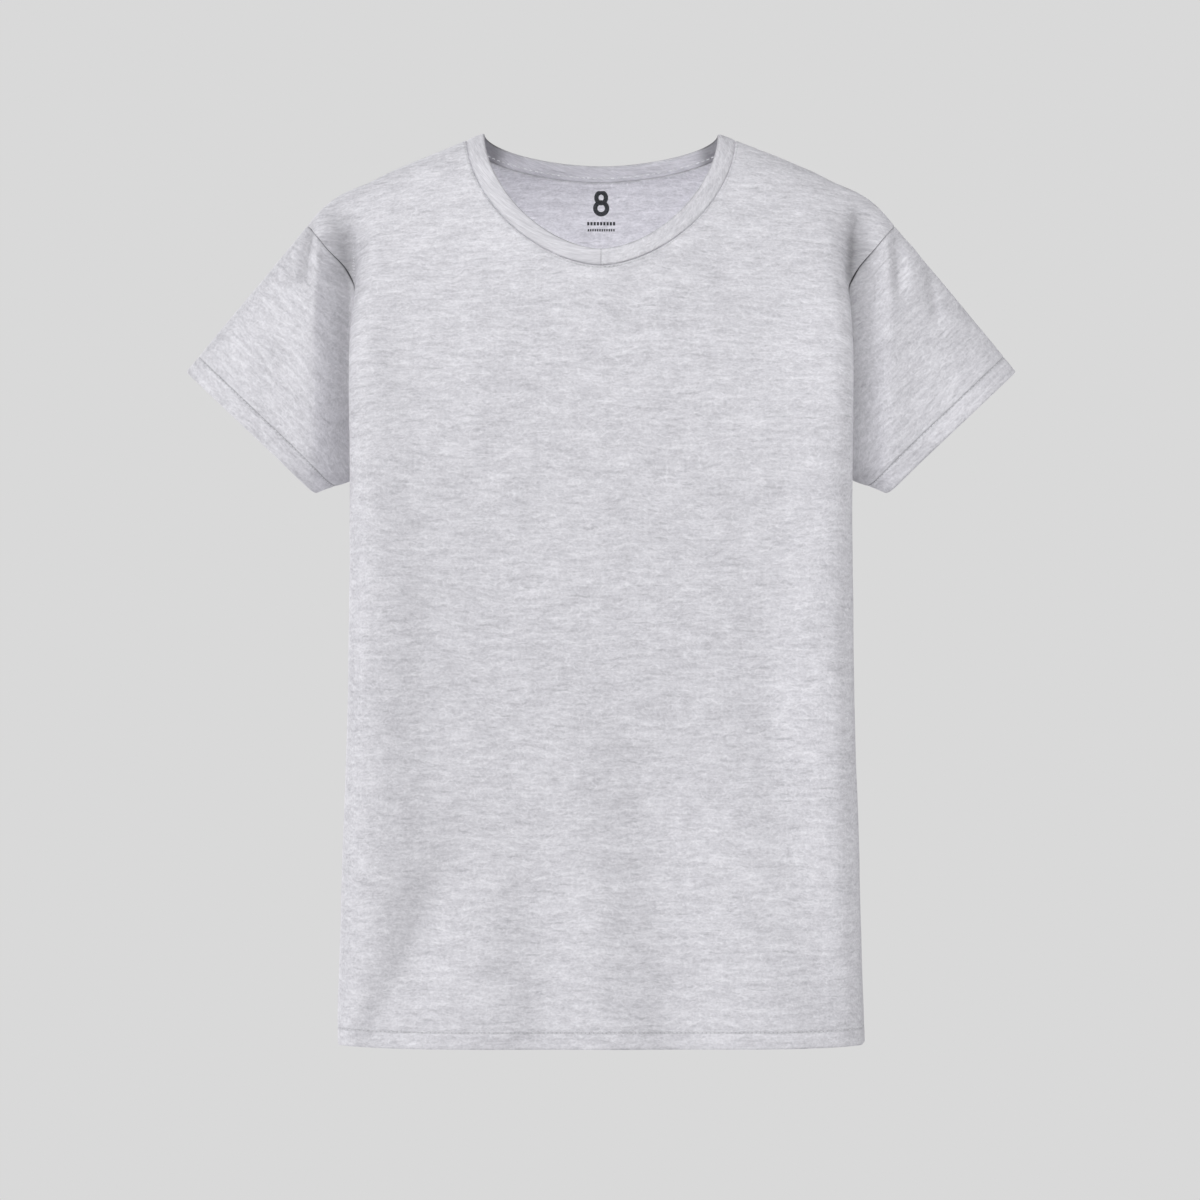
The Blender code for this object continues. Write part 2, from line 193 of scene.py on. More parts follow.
# Smaller creases from one point of the face to another. Below nought is a ridge.
CREASE_COLUMNS = ("face", "x", "z", "to_x", "to_z", "half_width", "depth")
CREASES = (
    (-1, -0.224, -0.062, -0.232, -0.122, 0.0048, 0.0062),
    (-1, -0.214, -0.066, -0.221, -0.170, 0.0058, -0.0034),
    (-1, -0.238, -0.088, -0.245, -0.128, 0.0045, 0.0014),
    (-1, -0.2075, -0.046, -0.1950, -0.124, 0.0060, 0.0036),
    (-1, 0.1985, -0.052, 0.1925, -0.124, 0.0055, 0.0032),
    (-1, 0.225, -0.066, 0.229, -0.138, 0.0044, 0.0032),
    (-1, 0.236, -0.076, 0.242, -0.126, 0.0045, -0.0014),
    (-1, 0.250, -0.092, 0.257, -0.150, 0.0050, 0.0030),
    (1, -0.224, -0.076, -0.230, -0.124, 0.0050, 0.0014),
    (1, 0.226, -0.076, 0.233, -0.118, 0.0045, 0.0013),
    (1, 0.240, -0.095, 0.250, -0.150, 0.0060, 0.0012),
)
CREASE_ENDS = 0.3
CREASE_SIDE_FADE = 0.012

# Rows of stitches: how far they lie from the hem, the cuff or the neck seam.
HEM_STITCHES = (0.0128, 0.0146)
CUFF_STITCH = 0.0147
NECK_TOPSTITCH = 0.0017
BAND_INNER_STITCH = 0.0036
GROOVE, CUFF_GROOVE, GROOVE_WIDTH = 0.00022, 0.00045, 0.0007
NECK_STITCH_DEPTH = 0.00003
ROW_STITCH = {"length": 0.0025, "gap": 0.0007, "radius": 0.00026, "lift": 0.00005}
NECK_STITCH = dict(ROW_STITCH, length=0.0022, gap=0.0010, radius=0.00020)
INNER_STITCH = dict(ROW_STITCH, length=0.0028, gap=0.0018, radius=0.00046, side=-1.0)
STITCH_SIDES = 6
STITCH_PLACES = (-1.0, -0.8, -0.3, 0.3, 0.8, 1.0)
STITCH_GIRTHS = (0.25, 0.8, 1.0, 1.0, 0.8, 0.25)

# The neck band: steps round it, the join of its ends and how it puffs up.
BAND_STEPS = 270
BAND_END_ROWS = (0.0, 0.0003, 0.0008, 0.0014, 0.0024)
BAND_EDGE_SHARE = 1.1
JOIN_SHARE = 0.35
BAND_PUFF = 0.00025
BAND_SEAM_SHARE = 0.5
BAND_HEIGHT = 0.013

# Where the flat cloth is measured from the form.
PLACE_FOOT, PLACE_RISE = -0.26, 0.10
PLACE_CORNER, PLACE_TURN = 0.12, 0.06
BODY_DEPTH = 0.083

# Printed size mark inside the back: the two rings of an 8 and two rows of bars.
MARK_HEIGHT = -0.0506
MARK_STROKE = 0.0034
RING_STEPS, RING_WIDTH_STEPS = 64, 3
PRINT_LIFT = 0.00012
RING_COLUMNS = ("half_width", "half_height", "height")
MARK_RINGS = ((0.0054, 0.0058, 0.0043), (0.0063, 0.0062, -0.0038))
BAR_COLUMNS = ("height", "count", "pitch", "width", "tall")
MARK_BARS = ((-0.0156, 9, 0.0025, 0.0017, 0.0026), (-0.0206, 12, 0.0018, 0.0011, 0.0019))

# Painted shade along a seam, a row of stitches, the band's join and its folded edge:
# its strength and half width.
SHADES = {
    "seam": (1.0, 0.0007),
    "hem_row": (0.7, 0.0006),
    "cuff_row": (0.9, 0.0006),
    "neck_seam": (0.45, 0.0007),
    "neck_row": (0.45, 0.0005),
    "neck_inside": (0.9, 0.0010),
    "band_join": (0.4, 0.0004),
    "band_edge": (0.55, 0.0009),
}
INNER_SHARE = 0.6

# Painted shade: the colour lost where it is darkest, and the painted shade in creases,
# behind the neck's front edge and at the neck points; painted light inside the back.
PAINTED_SHADE_STRENGTH = 0.55
CREASE_SHADE, CREASE_SHADE_DEPTH = 0.42, 0.0050
RIGHT_HOLLOW, LEFT_HOLLOW, HOLLOW_REACH = 0.62, 0.45, 0.048
HOLLOW_SIDE = 0.08
INSIDE_PAINTED_LIGHT = 0.16
POINT_REACH, POINT_FADE, POINT_SHADE = 0.070, 0.014, 0.95

# Jersey: each kind of fibre is noise, with its lumps per metre across, up and through.
# Bent kinds follow the waves of the courses.
FIBRE_COLUMNS = ("bent", "shift", "scale", "detail", "roughness", "weight")
FIBRES = (
    (True, (0.0, 0.0, 0.0), (430.0, 540.0, 5.0), 1.5, 0.6, 0.95),
    (True, (0.0, 0.0, 0.0), (130.0, 370.0, 7.0), 2.0, 0.6, 1.10),
    (True, (0.7, 0.3, 0.0), (40.0, 210.0, 9.0), 2.0, 0.5, 0.80),
    (False, (0.0, 0.0, 0.0), (32.0, 60.0, 4.0), 2.0, 0.5, 0.55),
)
WAVE_COLUMNS = ("scale", "detail", "sway")
WAVES = (
    ((16.0, 16.0, 3.0), 2.0, (0.0, 0.011, 0.0)),
    ((130.0, 260.0, 3.0), 1.0, (0.003, 0.0022, 0.0)),
)
CLOUD_SCALE, CLOUD_WEIGHT = (8.0, 13.0, 2.0), 0.20

# Loose hairs show where their noise is within limits: near its middle for fine pale
# ones, and at its peaks for dark ones.
HAIR_COLUMNS = ("fine", "shift", "scale", "detail", "limits", "mean", "weight")
HAIRS = (
    (True, (1.3, 0.9, 0.0), (120.0, 230.0, 11.0), 0.5, (0.035, 0.004), 0.12, 0.19),
    (False, (2.1, 1.7, 0.0), (52.0, 330.0, 13.0), 1.0, (0.655, 0.74), 0.03, -0.28),
)
FUZZ_SCALE, FUZZ_HEIGHT, FIBRE_HEIGHT = (1500.0, 1700.0, 20.0), 0.5, 0.8
BAND_STREAKS = 0.9
MIDDLE = (0.5, 0.5, 0.5)
DARK_FIBRE = (0.505, 0.499, 0.534)
LIGHT_FIBRE = (0.822, 0.815, 0.858)
THREAD = (0.66, 0.66, 0.69)
PALE_THREAD = (0.70, 0.70, 0.73)
DARKER_THREAD, LIGHTER_THREAD = 0.82, 1.16
THREAD_SCALE, TWIST_SCALE = (260.0, 260.0, 260.0), (2600.0, 2600.0, 2600.0)
SPECK_SCALE = (900.0, 900.0, 1500.0)
INK, WORN_INK = (0.034, 0.036, 0.040), (0.085, 0.088, 0.096)

# Light, floor and camera, which looks level from in front.
BACKDROP = (0.694, 0.694, 0.694)
FLOOR_SIZE, FLOOR_HEIGHT = 3.0, -1.45
LIGHT_COLUMNS = ("name", "x", "y", "z", "size", "power", "shadow")
LIGHTS = (
    ("key_light", -5.08, -2.93, 0.90, 2.0, 214.0, False),
    ("top_light", 2.20, -1.20, 2.60, 1.5, 40.0, False),
    ("front_fill", 1.10, -2.60, 0.70, 2.0, 26.0, False),
    ("back_fill", -1.60, 3.40, 1.00, 2.0, 80.0, True),
)
AIR_LIGHT = 0.32
LIGHT_TARGET = Vector((0.0, 0.0, -0.35))
CAMERA_DISTANCE = 8.0
FRAME_WIDTH = 0.921
CENTRE_X, CENTRE_Z = -0.0009, -0.3577


def named(table, names):
    return [dict(zip(names, row)) for row in table]


def column(table, names, name):
    return np.array([row[name] for row in named(table, names)])


def smooth_curve(place, places, sizes):
    """A size at any place, on a smooth curve through the sizes at given places."""
    slopes = np.gradient(sizes, places)
    place = np.clip(place, places[0], places[-1])
    low = np.clip(np.searchsorted(places, place) - 1, 0, len(places) - 2)
    span = places[low + 1] - places[low]
    t = (place - places[low]) / span
    start = sizes[low] * (1 + 2 * t) + slopes[low] * span * t
    end = sizes[low + 1] * (3 - 2 * t) - slopes[low + 1] * span * (1 - t)
    return start * (1 - t) ** 2 + end * t**2


def curve(place, table, names, name):
    """A column of a table, at any place along its first column."""
    return smooth_curve(place, column(table, names, names[0]), column(table, names, name))


def along(height, name):
    """A size of the body at any height."""
    return curve(height, BODY, BODY_COLUMNS, name)


def smooth_step(t):
    t = np.clip(t, 0, 1)
    return t * t * (3 - 2 * t)


def soft_min(a, b, reach):
    """The smaller of two distances, rounded where they are within reach."""
    share = np.clip(0.5 + 0.5 * (b - a) / reach, 0, 1)
    return b + (a - b) * share - reach * share * (1 - share)


def soft_max(a, b, reach):
    return -soft_min(-a, -b, reach)


def oval_distance(u, v, half_u, half_v, power):
    """About the distance to a superellipse, below nought inside it."""
    u, v = np.abs(u) / half_u, np.abs(v) / half_v
    size = (u**power + v**power + 1e-12) ** (1 / power)
    steepness = np.hypot(u ** (power - 1) / half_u, v ** (power - 1) / half_v)
    return (size - 1) / np.maximum(steepness * size ** (1 - power), OVAL_SLOPE)


def body_distance(x, y, z):
    """Distance to the tube of the body, with the hollow under each arm."""
    rise = smooth_step((z - ARM_HOLLOW_FOOT) / ARM_HOLLOW_RISE)
    hollow = ARM_HOLLOW * rise * np.exp(-((y / ARM_HOLLOW_WIDTH) ** 4))
    depth = np.where(y < 0, along(z, "front"), along(z, "back"))
    boxiness = np.where(y < 0, FRONT_BOXINESS, BACK_BOXINESS)
    return oval_distance(np.abs(x) + hollow, y, along(z, "half_width"), depth, boxiness)


def roof_distance(x, y, z):
    """Distance to the shoulders: a ridge that falls away to the front and back."""
    reach = np.hypot(x, RIDGE_ROUND)
    ridge = RIDGE_TOP - RIDGE_SLOPE * reach
    fall = np.where(y < 0, FRONT_FALL, BACK_FALL)
    power = np.where(y < 0, FRONT_FALL_POWER, BACK_FALL_POWER)
    out = np.abs(y) / FALL_REACH
    slope_x = RIDGE_SLOPE * x / reach
    slope_y = fall * power / FALL_REACH * out ** (power - 1)
    return (z - ridge + fall * out**power) / np.sqrt(1 + slope_x**2 + slope_y**2)


CUFF_CENTRE = (CUFF_TOP + CUFF_FOOT) / 2
CUFF_HALF_WIDTH = np.linalg.norm(CUFF_TOP - CUFF_FOOT) / 2
CUFF_UP = (CUFF_TOP - CUFF_FOOT) / (2 * CUFF_HALF_WIDTH)
SLEEVE_OUT = np.array((CUFF_UP[2], 0.0, -CUFF_UP[0]))


def sleeve_distance(x, y, z):
    """Distance to the flattened cone of a sleeve, which widens from cuff to body."""
    from_centre_x, from_centre_z = np.abs(x) - CUFF_CENTRE[0], z - CUFF_CENTRE[2]
    inward = -(from_centre_x * SLEEVE_OUT[0] + from_centre_z * SLEEVE_OUT[2])
    inward = np.maximum(inward, -SLEEVE_FOLD)
    up = from_centre_x * CUFF_UP[0] + from_centre_z * CUFF_UP[2]
    up -= inward * (TOP_FLARE - FOOT_FLARE) / 2
    half_width = CUFF_HALF_WIDTH + inward * (TOP_FLARE + FOOT_FLARE) / 2
    deepening = smooth_step(inward / ARM_LENGTH)
    half_depth = CUFF_HALF_DEPTH + (ARM_HALF_DEPTH - CUFF_HALF_DEPTH) * deepening
    return oval_distance(up, y, half_width, half_depth, SLEEVE_ROUNDNESS)


def form_distance(points):
    """Distance from the whole form: body, shoulders and both sleeves."""
    x, y, z = np.moveaxis(points, -1, 0)
    roof = roof_distance(x, y, z)
    body = soft_max(body_distance(x, y, z), roof, SHOULDER_BLEND)
    arms = soft_max(sleeve_distance(x, y, z), roof, SLEEVE_BLEND)
    return soft_min(body, arms, JOIN_BLEND)


def form_slope(points):
    """How the distance grows along each axis."""
    slopes = []
    for offset in PROBE * np.eye(3):
        change = form_distance(points + offset) - form_distance(points - offset)
        slopes.append(change / (2 * PROBE))
    return np.stack(slopes, axis=-1)


def settle(points, rounds=12):
    """Slide points onto the form by the shortest way."""
    for _ in range(rounds):
        slope = form_slope(points)
        share = form_distance(points) / np.maximum((slope**2).sum(axis=-1), SETTLE_SLOPE)
        points = points - SETTLE_SHARE * slope * share[..., None]
    return points


def unit(vectors):
    return vectors / np.linalg.norm(vectors, axis=-1, keepdims=True)


def outward(points):
    return unit(form_slope(points))


def basin(points):
    """How far the front stands proud at its sides and lies back in its middle."""
    x, y, z = np.moveaxis(points, -1, 0)
    spread_out = BASIN_SPREAD * smooth_step((z - BASIN_SPREAD_FOOT) / BASIN_SPREAD_RISE)
    lift = curve(np.abs(x) * (1 - spread_out), BASIN, BASIN_COLUMNS, "proud")
    fade_in = smooth_step((BASIN_TOP - z) / BASIN_FADE_IN)
    fade_out = smooth_step((z - BASIN_FOOT) / BASIN_FADE_OUT)
    return lift * fade_in * fade_out * smooth_step(-y / FOLD_SIDE_FADE)


def valley_share(points):
    """The share of its depth that a sleeve loses beside the body."""
    x, y, z = np.moveaxis(points, -1, 0)
    lost = curve(np.abs(x), VALLEY, VALLEY_COLUMNS, "lost")
    lost = lost * np.where(x < 0, RIGHT_VALLEY, LEFT_VALLEY)
    lost = lost * (1 - smooth_step((np.abs(y) - VALLEY_FRONT) / VALLEY_FRONT_FADE))
    lost = lost * smooth_step((VALLEY_TOP - z) / VALLEY_TOP_FADE)
    return lost * smooth_step((z - VALLEY_FOOT) / VALLEY_FOOT_FADE)


def valley(points):
    """The same points with the sleeves drawn in beside the body, and tucked behind it."""
    x, y, z = np.moveaxis(points, -1, 0)
    lost = valley_share(points)
    tuck = TUCK * np.maximum(lost, 0) * smooth_step((TUCK_REACH - np.abs(x)) / TUCK_FADE)
    return np.stack((x - np.sign(x) * tuck, y * (1 - lost), z), axis=-1)


def laid(points, depth):
    """Points of the smooth form, brought to the cloth at a depth below its face."""
    below = points - outward(points) * (pressed_in(points) + depth)[..., None]
    below[..., 1] -= basin(points)
    return valley(below)


def fold_depth(points):
    """How far the folds press the cloth in, fading out at the sides and ends."""
    x, y, z = np.moveaxis(points, -1, 0)
    depth = np.zeros(x.shape)
    for fold in named(FOLDS, FOLD_COLUMNS):
        line = fold["x"] + fold["lean"] * (z - fold["top"])
        width = np.where(x < line, fold["right_width"], fold["left_width"])
        across = np.exp(-(((x - line) / width) ** 2))
        fade_in = smooth_step((fold["top"] - z) / FOLD_ENDS)
        fade_out = smooth_step((z - fold["foot"]) / FOLD_ENDS)
        side = smooth_step(fold["face"] * y / FOLD_SIDE_FADE)
        depth += fold["depth"] * across * fade_in * fade_out * side
    return depth


def crease_depth(points):
    """How far the small creases press the cloth in."""
    x, y, z = np.moveaxis(points, -1, 0)
    depth = np.zeros(x.shape)
    for crease in named(CREASES, CREASE_COLUMNS):
        run_x, run_z = crease["to_x"] - crease["x"], crease["to_z"] - crease["z"]
        length = np.hypot(run_x, run_z)
        share = ((x - crease["x"]) * run_x + (z - crease["z"]) * run_z) / length**2
        off = ((x - crease["x"]) * run_z - (z - crease["z"]) * run_x) / length
        across = np.exp(-((off / crease["half_width"]) ** 2))
        fade_in = smooth_step(share / CREASE_ENDS)
        fade_out = smooth_step((1 - share) / CREASE_ENDS)
        side = smooth_step(crease["face"] * y / CREASE_SIDE_FADE)
        depth += crease["depth"] * across * fade_in * fade_out * side
    return depth


def pressed(points, face):
    """The same points as seen from the front, moved in depth onto the form."""
    near, far = np.zeros(points.shape[:-1]), np.full(points.shape[:-1], 2 * FALL_REACH)
    for _ in range(PRESS_ROUNDS):
        middle = (near + far) / 2
        trial = np.stack((points[..., 0], face * middle, points[..., 2]), axis=-1)
        inside = form_distance(trial) < 0
        near, far = np.where(inside, middle, near), np.where(inside, far, middle)
    return np.stack((points[..., 0], face * near, points[..., 2]), axis=-1)


def travel(course):
    """Distance along each line of points, from its first."""
    lengths = np.linalg.norm(np.diff(course, axis=0), axis=-1)
    return np.concatenate((np.zeros((1,) + lengths.shape[1:]), np.cumsum(lengths, axis=0)))


def spread(course):
    """Even steps along half a course, then the rows close to its seam."""
    travelled = travel(course)
    corner = min(CORNER_REACH, CORNER_SHARE * course[-1, 0])
    turn = np.interp(corner, np.maximum.accumulate(course[:, 0]), travelled)
    close = travelled[-1] - np.array(EDGE_ROWS)
    face = np.linspace(0, turn, FACE_STEPS + 1)[:-1]
    round_corner = np.linspace(turn, close[0], CORNER_STEPS + 1)
    places = np.concatenate((face, round_corner, close[1:], travelled[-1:]))
    return np.stack([np.interp(places, travelled, course[:, k]) for k in range(3)], axis=-1)


def both_halves(half):
    """A whole course from its wearer's left half."""
    return np.concatenate((half[:0:-1] * np.array((-1.0, 1.0, 1.0)), half))


def neck_line(row, face):
    """Half of a neckline, from the middle of the front or back to the neck point."""
    sizes = dict(zip(NECK_COLUMNS, row))
    drop = sizes["front_depth"] if face < 0 else sizes["back_depth"]
    point = settle(np.array((sizes["half_width"], 0.0, sizes["top"])))
    turn = np.linspace(0, np.pi / 2, LINE_STEPS)
    reach = point[0] * np.sin(turn) ** (2 / NECK_ROUNDNESS)
    height = point[2] - drop * np.cos(turn) ** (2 / NECK_ROUNDNESS)
    course = pressed(np.stack((reach, 0 * turn, height), axis=-1), face)
    course[-1] = point
    return course


def armhole(face):
    """Half of the armhole seam on the wearer's left, from the underarm to the tip."""
    turn = np.linspace(np.pi, 0, ARMHOLE_STEPS + 1)
    reach = UNDERARM_REACH + TIP_REACH * ((1 + np.cos(turn)) / 2) ** TIP_POWER
    depth = face * ARMHOLE_HALF_DEPTH * np.sin(turn)
    height = ARMHOLE_HEIGHT + ARMHOLE_HALF_HEIGHT * np.cos(turn)
    return settle(np.stack((reach, depth, height), axis=-1))


def line_between(start, end, steps):
    share = np.linspace(0, 1, steps + 1)[:, None]
    return settle(start + (end - start) * share)


def side_edge(face, neck_point):
    """The wearer's left edge of a panel: side seam, armhole, then shoulder seam."""
    hole = armhole(face)
    corner = settle(np.array((UNDERARM_REACH, 0.0, HEM_HEIGHT)))
    up = np.array((0.0, 0.0, 1.0))
    hem = corner + np.array(HEM_ROWS)[:, None] * up
    seam = line_between(hem[-1], hole[0], SIDE_STEPS)
    shoulder = line_between(hole[-1], neck_point, SHOULDER_STEPS)
    return np.concatenate((hem[:-1], seam[:-1], hole, shoulder[1:]))


def panel_grid(face):
    """Courses of the front or back from the hem up to the neckline."""
    collar = spread(neck_line(NECK_SEAM, face))
    edge = side_edge(face, collar[-1])
    underarm = len(edge) - 1 - SHOULDER_STEPS - ARMHOLE_STEPS
    tip = underarm + ARMHOLE_STEPS
    climb = np.linalg.norm(np.diff(edge[underarm:], axis=0), axis=1)
    climbed = np.concatenate((np.zeros(underarm + 1), np.cumsum(climb) / climb.sum()))
    turn = np.linspace(0, np.pi / 2, LINE_STEPS)
    reach = np.sin(turn) ** (2 / BACK_BOXINESS)
    bulge = np.cos(turn) ** (2 / BACK_BOXINESS)
    flat_sag = (1 - reach**2) ** 2
    round_sag = (1 - reach**NECK_ROUNDNESS) ** (1 / NECK_ROUNDNESS)
    courses = []
    for number, end in enumerate(edge[:-1]):
        middle = edge[min(number, underarm), 2]
        middle += climbed[number] * (collar[0, 2] - middle)
        share = smooth_step((number - tip) / SHOULDER_STEPS)
        sag = flat_sag + share * (round_sag - flat_sag)
        depth = end[1] + (face * FALL_REACH - end[1]) * bulge
        height = end[2] + (middle - end[2]) * sag
        course = settle(np.stack((end[0] * reach, depth, height), axis=-1))
        half = settle(spread(course), 4)
        half[-1] = end
        half[0, 0] = 0.0
        courses.append(both_halves(half))
    last, top = courses[-1], both_halves(collar)
    for share in NECK_SHARES:
        courses.append(settle(last + (top - last) * share, 4))
    courses.append(top)
    return np.stack(courses)


def sleeve_grid():
    """Rings of the wearer's left sleeve from the armhole to the cuff."""
    ring = np.concatenate((armhole(-1)[::-1], armhole(1)[1:-1]))
    turn = np.linspace(0, 2 * np.pi, len(ring) + 1)[:-1, None]
    cuff = CUFF_CENTRE + CUFF_HALF_WIDTH * np.cos(turn) * CUFF_UP
    cuff = settle(cuff - CUFF_HALF_DEPTH * np.sin(turn) * np.array((0.0, 1.0, 0.0)))
    way = cuff - ring
    length = np.linalg.norm(way, axis=1)[:, None]
    rings = [ring]
    for distance in SLEEVE_ROOT_ROWS:
        rings.append(settle(ring + way * distance / length))
    first, last = SLEEVE_ROOT_ROWS[-1], CUFF_ROWS[0]
    for step in range(1, SLEEVE_STEPS):
        share = step / SLEEVE_STEPS
        rings.append(settle(ring + way * (first + (length - last - first) * share) / length))
    for distance in CUFF_ROWS:
        rings.append(settle(cuff - way * distance / length))
    return np.stack(rings)


def profile(distance, kind):
    """Depth at a distance from a seam or a folded edge."""
    places, depths = (column(EDGES, EDGE_COLUMNS, name) for name in ("distance", kind))
    return np.interp(distance, places, depths)


def allowance(distance):
    """Thickness that the seam allowance adds inside, beside a seam."""
    rise = smooth_step((ALLOWANCE - distance) / ALLOWANCE_STEP)
    return ALLOWANCE_HEIGHT * rise


def edge_distances(grid, closed):
    """Distances of every point from the first row, last row and nearest side."""
    up = travel(grid)
    from_last = up[-1] - up
    if closed:
        return up, from_last, np.full(up.shape, FAR)
    across = travel(np.swapaxes(grid, 0, 1)).T
    return up, from_last, np.minimum(across, across[:, -1:] - across)


def ripple(points):
    """Slight unevenness of soft cloth, well under a millimetre."""
    x, y, z = np.moveaxis(points, -1, 0)
    waves = np.sin(41 * x + 17 * z + 2.1) * np.sin(23 * z - 9 * x + 1)
    waves += 0.7 * np.sin(73 * x - 31 * z + 11 * y + 1) * np.sin(37 * z + 19 * x)
    waves += 0.4 * np.sin(131 * x + 47 * z) * np.sin(89 * z - 29 * x + 53 * y + 1)
    return UNEVENNESS * waves


def cloth_faces(rows, count, closed):
    """Quads between neighbouring points of a grid."""
    number = np.arange(rows * count).reshape(rows, count)
    if closed:
        number = np.concatenate((number, number[:, :1]), axis=1)
    low, high = number[:-1], number[1:]
    return np.stack((low[:, :-1], low[:, 1:], high[:, 1:], high[:, :-1]), axis=-1).reshape(-1, 4)


def new_object(name, points, faces, material, smooth=True):
    mesh = bpy.data.meshes.new(name)
    mesh.from_pydata(points.tolist(), [], faces)
    if smooth:
        mesh.shade_smooth()
    mesh.materials.append(material)
    item = bpy.data.objects.new(name, mesh)
    bpy.context.scene.collection.objects.link(item)
    return item


def cloth_piece(name, outer, inner, closed, cloth, shades, material):
    """A closed wall between two grids, with its place on the flat cloth and its painted shade and
    light.
    """
    rows, count = outer.shape[:2]
    total = rows * count
    faces = cloth_faces(rows, count, closed)
    across, up = outer[:-1, 1:] - outer[:-1, :-1], outer[1:, :-1] - outer[:-1, :-1]
    facing = (np.cross(across, up) * outward(outer[:-1, :-1])).sum(axis=-1)
    if facing.mean() < 0:
        faces = faces[:, ::-1]
    number = np.arange(total).reshape(rows, count)
    if closed:
        rims = [np.append(rim, rim[0]) for rim in (number[0], number[-1][::-1])]
    else:
        rims = [number[0], number[:, -1], number[-1][::-1], number[::-1, 0]]
    walls = []
    for rim in rims:
        walls.append(np.stack((rim[1:], rim[:-1], rim[:-1] + total, rim[1:] + total), axis=-1))
    walls = np.concatenate(walls)
    if facing.mean() < 0:
        walls = walls[:, ::-1]
    quads = np.concatenate((faces, faces[:, ::-1] + total, walls))
    points = np.concatenate((outer.reshape(-1, 3), inner.reshape(-1, 3)))
    item = new_object(name, points, quads.tolist(), material)
    place = item.data.attributes.new("cloth", "FLOAT_VECTOR", "POINT")
    place.data.foreach_set("vector", np.concatenate((cloth, cloth)).ravel())
    # Painted shade of seams, stitch rows, edges, valleys, creases and hollows, and painted light
    # inside the back, at each point.
    dark = item.data.attributes.new("painted_shade_and_light", "FLOAT", "POINT")
    dark.data.foreach_set("value", np.concatenate(shades).ravel())
    return item


def line_shade(kind, distance, at=0.0):
    """Painted shade beside a seam or a line of stitches, from nought to one."""
    strength, width = SHADES[kind]
    return strength * np.exp(-(((distance - at) / width) ** 2))


def valley_shade(points):
    """Painted shade down in the valley between a sleeve and the body."""
    side = np.where(points[..., 0] < 0, RIGHT_VALLEY_SHADE, LEFT_VALLEY_SHADE)
    return np.maximum(valley_share(points), 0) * side


def crease_shade(points):
    """Painted shade down in the small creases."""
    return CREASE_SHADE * np.clip(crease_depth(points) / CREASE_SHADE_DEPTH, 0, 1)


def hollow_shade(points):
    """Painted shade inside the back, where it is close to the front and its neck band."""
    off = np.full(points.shape[:-1], FAR)
    for place in both_halves(neck_line(NECK_EDGE, -1))[::6]:
        off = np.minimum(off, np.linalg.norm(points - place, axis=-1))
    side = smooth_step((points[..., 0] + HOLLOW_SIDE) / (2 * HOLLOW_SIDE))
    strength = RIGHT_HOLLOW + (LEFT_HOLLOW - RIGHT_HOLLOW) * side
    return strength * np.exp(-((off / HOLLOW_REACH) ** 2))


def pressed_in(points):
    """How far the cloth lies below the smooth form, by folds, creases and unevenness."""
    return fold_depth(points) + crease_depth(points) + ripple(points)


def hem_thickness(distance, fold):
    """Depth of the inner face beside a hem turned up by its fold."""
    turned = 1 - smooth_step((distance - fold) / HEM_STEP)
    single = CLOTH + (HEM_THICKNESS - CLOTH) * turned
    return np.minimum(single, HEM_THICKNESS - profile(distance, "fold"))


def groove(distance, places, depth=GROOVE):
    """The slight dent that rows of stitches pull into the cloth."""
    return sum(depth * np.exp(-(((distance - at) / GROOVE_WIDTH) ** 2)) for at in places)


def panel_place(points, number):
    """Where each point lies on the flat panel: across it, up it, and which piece."""
    x, y, z = np.moveaxis(points, -1, 0)
    shoulder = smooth_step((z - PLACE_FOOT) / PLACE_RISE)
    inset = np.maximum(BODY_DEPTH - np.abs(y), 0)
    corner = smooth_step((np.abs(x) - PLACE_CORNER) / PLACE_TURN)
    across = x + np.sign(x) * inset * corner * (1 - shoulder)
    up = z + 0.5 * inset * shoulder
    return np.stack((across, up, np.full(x.shape, float(number))), axis=-1)


def sleeve_place(grid, number):
    """Where each point lies on the flat sleeve: round it from its top, along it."""
    closed = np.concatenate((grid, grid[:, :1]), axis=1)
    around = travel(np.swapaxes(closed, 0, 1)).T
    half = grid.shape[1] // 2
    full = around[:, -1:]
    around = around[:, :-1]
    around = np.where(np.arange(grid.shape[1]) > half, around - full, around)
    out = np.abs(grid[..., 0]) * SLEEVE_OUT[0] + grid[..., 2] * SLEEVE_OUT[2]
    return np.stack((around, out, np.full(out.shape, float(number))), axis=-1)


def make_panel(name, face, number, material):
    grid = panel_grid(face)
    share = np.minimum(np.abs(grid[..., 0]) / BODY[0][1], 1.0) ** HEM_CORNER_POWER
    fade = 1 - smooth_step((grid[..., 2] - HEM_HEIGHT) / HEM_CORNER_FADE)
    grid[..., 2] += HEM_CORNER_RISE * share * fade
    from_hem, from_neck, from_side = edge_distances(grid, False)
    from_seam = np.minimum(from_neck, from_side)
    outer_depth = np.maximum(profile(from_hem, "fold"), profile(from_seam, "seam"))
    outer_depth += groove(from_hem, HEM_STITCHES)
    inner_depth = hem_thickness(from_hem, HEM_FOLD) + allowance(from_seam)
    outer, inner = laid(grid, outer_depth), laid(grid, inner_depth)
    # Painted shade along the seams, the hem row and the neck, down in the valley and in the
    # creases.
    shade = line_shade("seam", from_side) + line_shade("hem_row", from_hem, HEM_STITCHES[0])
    shade += line_shade("neck_seam", from_neck) + valley_shade(grid) + crease_shade(grid)
    shade += line_shade("neck_row", from_neck, NECK_TOPSTITCH)
    # Inside: painted shade along the side seams and the neck seam.
    inner_shade = INNER_SHARE * line_shade("seam", from_side)
    inner_shade += line_shade("neck_inside", from_neck)
    if face > 0:
        # Inside the back: painted shade near the front's neck edge, and painted light that makes
        # the whole face lighter.
        inner_shade += hollow_shade(inner) - INSIDE_PAINTED_LIGHT
    place = panel_place(grid, number)
    shades = (shade, inner_shade)
    return cloth_piece(name, outer, inner, False, place, shades, material), grid


